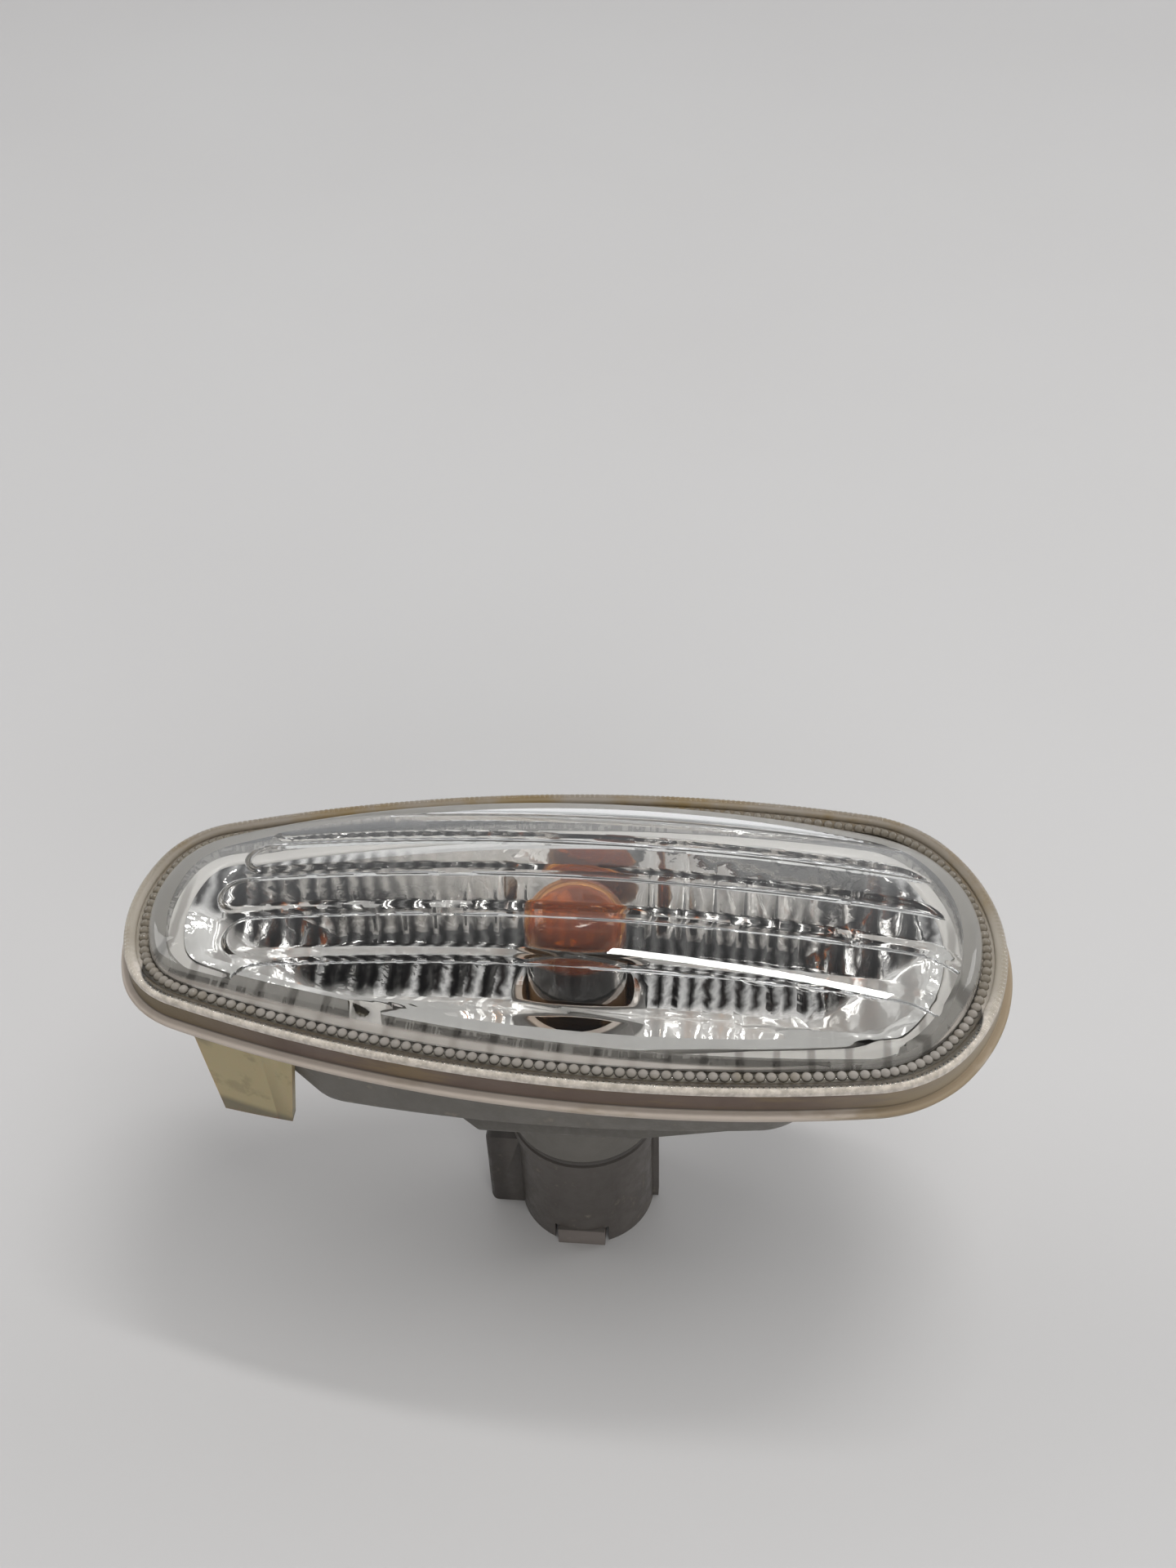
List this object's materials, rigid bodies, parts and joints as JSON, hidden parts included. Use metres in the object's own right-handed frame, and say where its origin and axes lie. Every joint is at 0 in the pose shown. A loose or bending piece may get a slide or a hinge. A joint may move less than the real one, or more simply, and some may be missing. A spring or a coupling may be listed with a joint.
{
  "type": "side marker light",
  "caption": "Vehicle side marker light: egg-shaped fluted clear lens on a rubber gasket, boat-shaped housing with saddle clip, amber wedge bulb and twist-in holder with plug shroud.",
  "frame": {"origin": "on the bulb axis, in the face of the rim gasket that lies on the body panel", "axes": "+Z along the optical axis, out of the lens; +X along the lamp, towards its wide end"},
  "size_m": [0.0884, 0.04, 0.0499],
  "materials": {
    "gasket_rubber": "matt, stained brown",
    "housing_plastic": "satin",
    "lens_plastic": "clear, gloss",
    "reflector_plating": "metallised mirror",
    "bulb_amber": "amber, gloss",
    "lead_wire": "plain",
    "bead_glass": "gloss",
    "filament_wire": "plain",
    "contact_metal": "satin",
    "holder_plastic": "satin",
    "seal_rubber": "matt",
    "clip_nylon": "satin, slightly translucent"
  },
  "bodies": {
    "lamp": {"rim_gasket": "gasket_rubber", "housing": "housing_plastic", "lens": "lens_plastic", "reflector": "reflector_plating", "retaining_clip": "clip_nylon"},
    "holder": {"bulb_holder": "holder_plastic", "holder_seal": "seal_rubber", "contact_left": "contact_metal", "contact_right": "contact_metal", "bulb_glass": "bulb_amber", "bulb_lead_left": "lead_wire", "bulb_lead_right": "lead_wire", "bulb_lead_bridge": "bead_glass", "bulb_filament": "filament_wire"}
  },
  "joints": [
    {"name": "holder_twist", "type": "hinge", "parent": "lamp", "child": "holder", "pos_m": [0, 0, -0.02], "axis": [0, 0, -1], "range_deg": [0, 45]}
  ]
}
